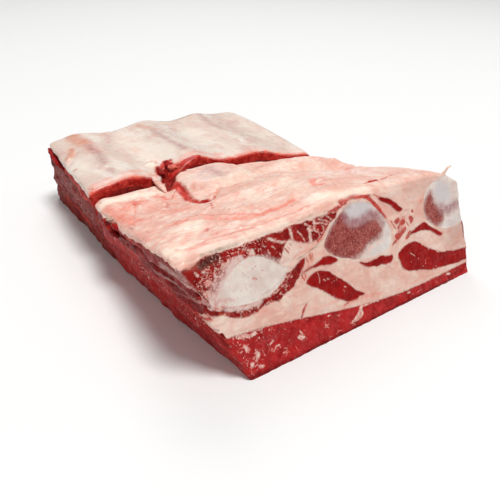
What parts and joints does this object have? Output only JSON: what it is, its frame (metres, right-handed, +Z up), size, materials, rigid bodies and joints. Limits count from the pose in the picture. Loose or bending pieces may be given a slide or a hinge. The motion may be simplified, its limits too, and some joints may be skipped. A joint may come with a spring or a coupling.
{
  "type": "chopped veal short ribs",
  "caption": "Raw slab of veal short ribs, sawn across the bones into strips that lie together, with fat, lean layers and rib ends at the cut.",
  "frame": {"origin": "centre of the footprint of the whole slab, on the surface that it rests on", "axes": "+X across the ribs, +Y along the ribs from the sawn front face to the back, +Z up from the lean side to the rib side"},
  "size_m": [0.1745, 0.2384, 0.0582],
  "materials": {
    "fat": "moist, creamy pink fat",
    "membrane": "wet glossy skin over the ribs, whitish with pink and brown stains",
    "lean": "moist fresh-cut red meat",
    "dark_lean": "moist dark red-brown meat",
    "marbled_meat": "moist red meat with white branching fat",
    "sawn_bone": "damp whitish gristle with red-brown marrow at the sawn ends"
  },
  "bodies": {
    "root": {"front_fat": "fat", "front_rib_left": "sawn_bone", "front_rib_middle": "sawn_bone", "front_rib_right": "sawn_bone", "front_rib_wrap": "marbled_meat", "front_muscle_left": "lean", "front_muscle_right": "lean", "front_streak_left": "lean", "front_streak_middle": "lean", "front_streak_upper": "lean", "front_streak_right": "lean", "front_lean": "lean", "back_cover": "membrane", "back_flesh": "dark_lean", "back_seam_fat": "fat", "back_lean": "dark_lean", "back_rib_left": "sawn_bone", "back_rib_middle": "sawn_bone", "back_rib_right": "sawn_bone"}
  },
  "joints": []
}
